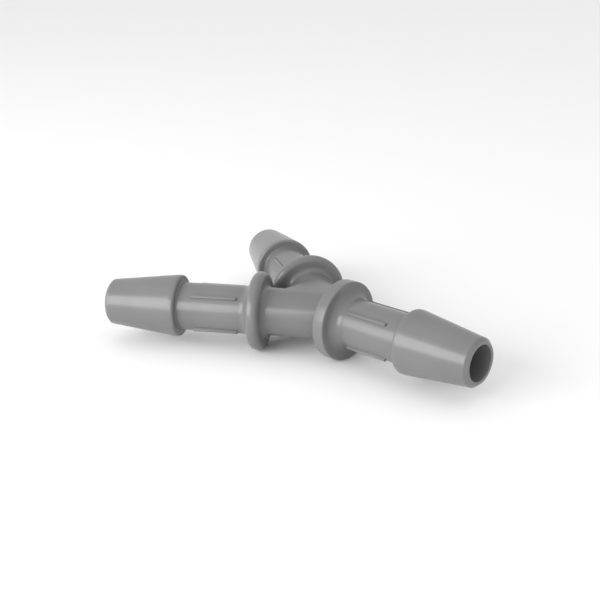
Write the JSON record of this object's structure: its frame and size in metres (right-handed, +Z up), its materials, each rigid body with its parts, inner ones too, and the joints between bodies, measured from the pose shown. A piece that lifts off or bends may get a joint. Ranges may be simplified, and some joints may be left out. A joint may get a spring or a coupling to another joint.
{
  "type": "barbed wye connector",
  "caption": "Grey plastic wye connector for flexible tubing: a stem that forks into two branches, each with a stop collar, a ribbed neck and a tapered barb.",
  "frame": {"origin": "on the surface that the three collars rest on, under the middle of the bounding box", "axes": "+X along the stem towards its tip, +Z up, normal to the plane of the three arms; the left branch runs back towards -Y and the right one towards +Y"},
  "size_m": [0.0506, 0.035, 0.0104],
  "materials": {
    "grey_plastic": "neutral grey moulded thermoplastic with a satin surface"
  },
  "bodies": {
    "root": {"hub": "grey_plastic", "stem_collar": "grey_plastic", "stem_neck": "grey_plastic", "stem_ribs": "grey_plastic", "stem_barb": "grey_plastic", "left_collar": "grey_plastic", "left_neck": "grey_plastic", "left_ribs": "grey_plastic", "left_barb": "grey_plastic", "right_collar": "grey_plastic", "right_neck": "grey_plastic", "right_ribs": "grey_plastic", "right_barb": "grey_plastic"}
  },
  "joints": []
}
